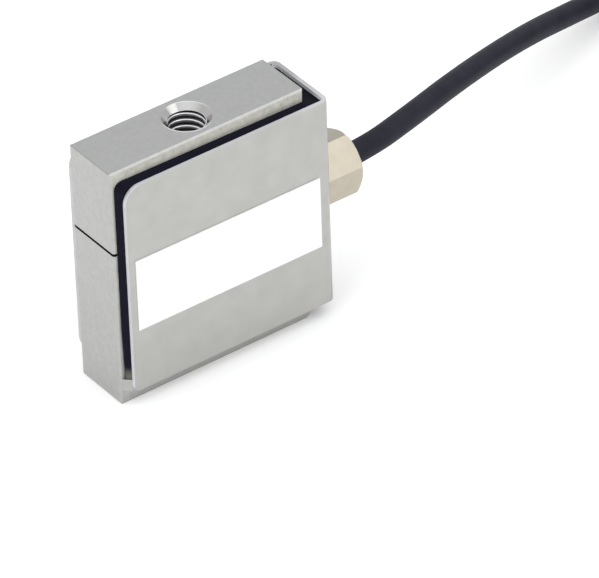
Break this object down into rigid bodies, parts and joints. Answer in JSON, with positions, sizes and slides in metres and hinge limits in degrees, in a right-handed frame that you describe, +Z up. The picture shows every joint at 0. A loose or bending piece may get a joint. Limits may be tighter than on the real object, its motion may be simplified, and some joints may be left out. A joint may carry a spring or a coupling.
{
  "type": "tension load cell",
  "caption": "Miniature S-beam load cell: slotted steel block with tapped ends, a folded cover, a hexagonal cable gland and a thin cable; measures pull along its axis.",
  "frame": {"origin": "where the load axis, the axis of both tapped holes, meets the foot face that the cell stands on", "axes": "+X toward the cable gland, +Y to the back, away from the label, +Z up along the load axis"},
  "size_m": [0.0866, 0.0264, 0.0187],
  "materials": {
    "beam_steel": "satin ground steel",
    "cover_steel": "half-bright rolled sheet",
    "label_white": "smooth white film",
    "sealant": "dark satin sealant",
    "gland_metal": "pale plated metal",
    "grip_rubber": "matte black rubber",
    "gauge_film": "amber film with bright foil",
    "terminal_film": "tan film with solder",
    "chip_black": "black chip with tinned ends",
    "jumper_copper": "enamelled copper ribbon",
    "lead_red": "red insulation",
    "lead_black": "black insulation",
    "lead_green": "green insulation",
    "lead_white": "white insulation",
    "cable_jacket": "soft dark jacket",
    "tie_nylon": "black nylon"
  },
  "bodies": {
    "root": {"s_beam_body": "beam_steel", "wrap_cover": "cover_steel", "cover_label": "label_white", "seal_bead": "sealant", "lower_seal_plug": "sealant", "gland_body": "gland_metal", "gland_locknut": "gland_metal", "gland_seal": "grip_rubber", "shear_gauge_front": "gauge_film", "shear_gauge_rear": "gauge_film", "terminal_board_front": "terminal_film", "terminal_board_rear": "terminal_film", "span_resistor": "chip_black", "zero_resistor": "chip_black", "gauge_jumpers_front": "jumper_copper", "gauge_jumpers_rear": "jumper_copper", "cable_run": "cable_jacket", "cable_coil": "cable_jacket", "coil_tie": "tie_nylon", "inner_lead_red": "lead_red", "tail_lead_red": "lead_red", "inner_lead_black": "lead_black", "tail_lead_black": "lead_black", "inner_lead_green": "lead_green", "tail_lead_green": "lead_green", "inner_lead_white": "lead_white", "tail_lead_white": "lead_white"}
  },
  "joints": []
}
